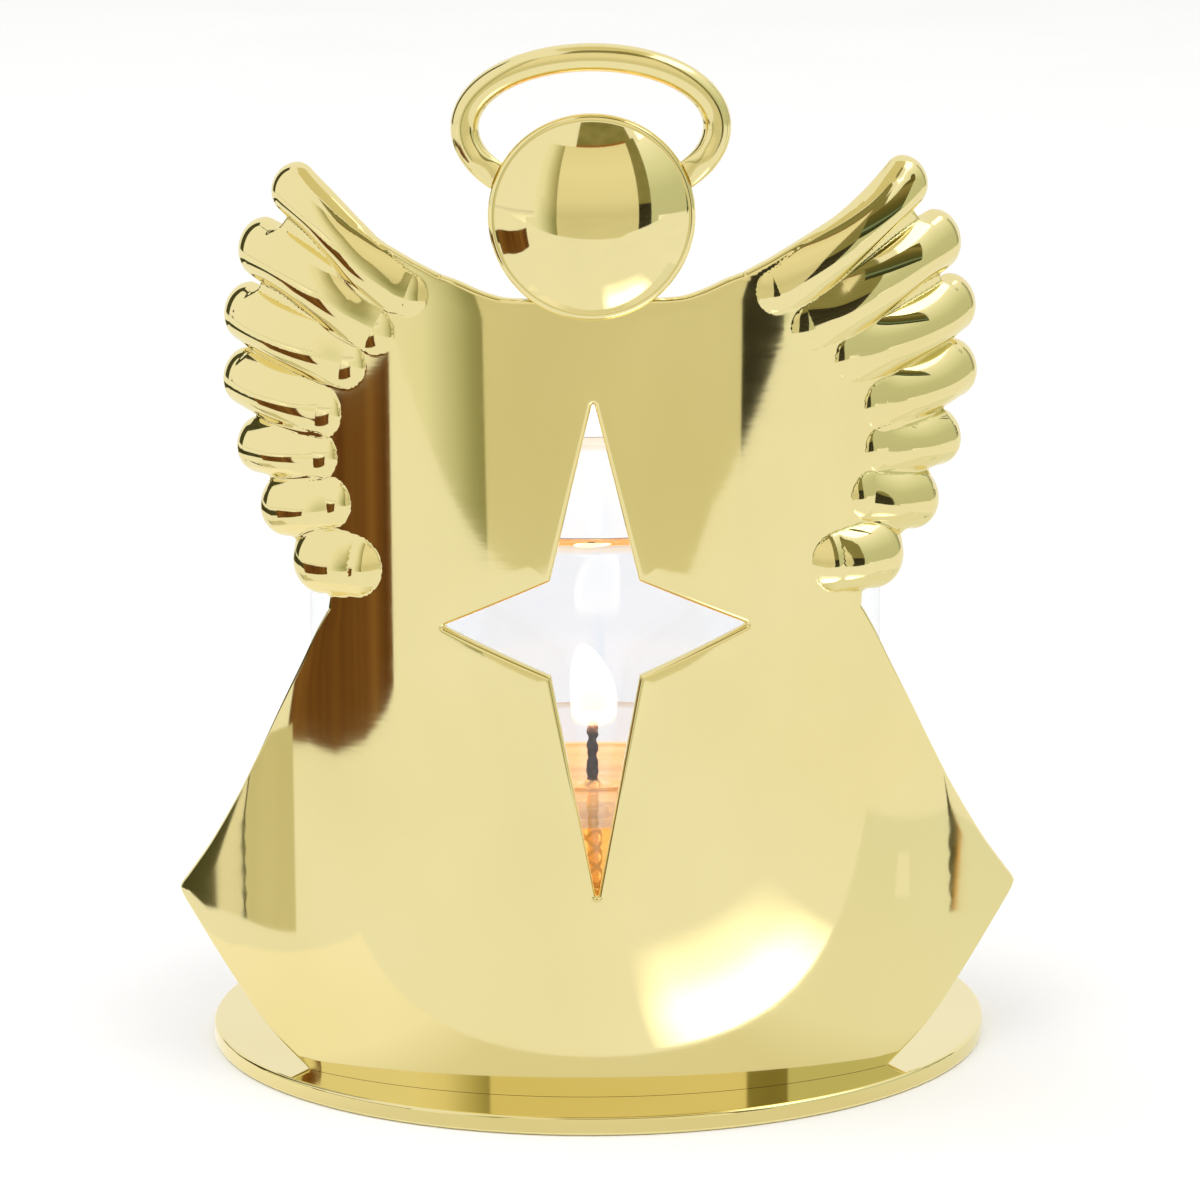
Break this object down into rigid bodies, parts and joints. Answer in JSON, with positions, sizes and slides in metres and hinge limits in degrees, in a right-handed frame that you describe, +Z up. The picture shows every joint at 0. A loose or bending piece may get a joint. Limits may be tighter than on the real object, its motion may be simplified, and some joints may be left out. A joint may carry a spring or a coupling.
{
  "type": "angel tealight holder",
  "caption": "Free-standing tealight holder: a curved, polished metal angel with a star cut-out stands on a round base disc in front of a clear glass cup holding a tealight.",
  "frame": {"origin": "centre of the base disc's underside", "axes": "+Z up, the angel's front faces -Y, +X to the viewer's right when the angel faces the viewer"},
  "size_m": [0.082, 0.076, 0.1015],
  "materials": {
    "gold_metal": "mirror polished, pale gold plating",
    "screw_steel": "plain",
    "clear_glass": "clear, polished",
    "clear_plastic": "clear, moulded",
    "wax": "melted at the top",
    "tinplate": "stamped",
    "wick_cotton": "braided, charred"
  },
  "bodies": {
    "holder": {"base_disc": "gold_metal", "gown_panel": "gold_metal", "left_wing": "gold_metal", "right_wing": "gold_metal", "head_dome": "gold_metal", "halo_ring": "gold_metal", "foot_boss_left": "gold_metal", "foot_boss_right": "gold_metal", "screw_left": "screw_steel", "screw_right": "screw_steel"},
    "cup": {"glass_cup": "clear_glass"},
    "tealight": {"tealight_cup": "clear_plastic", "tealight_wax": "wax", "wick_sustainer": "tinplate", "wick": "wick_cotton"}
  },
  "joints": [
    {"name": "cup_lift", "type": "slide", "parent": "holder", "child": "cup", "axis": [0, 0, 1], "range_m": [0, 0.11]},
    {"name": "tealight_lift", "type": "slide", "parent": "cup", "child": "tealight", "axis": [0, 0, 1], "range_m": [0, 0.095]}
  ]
}
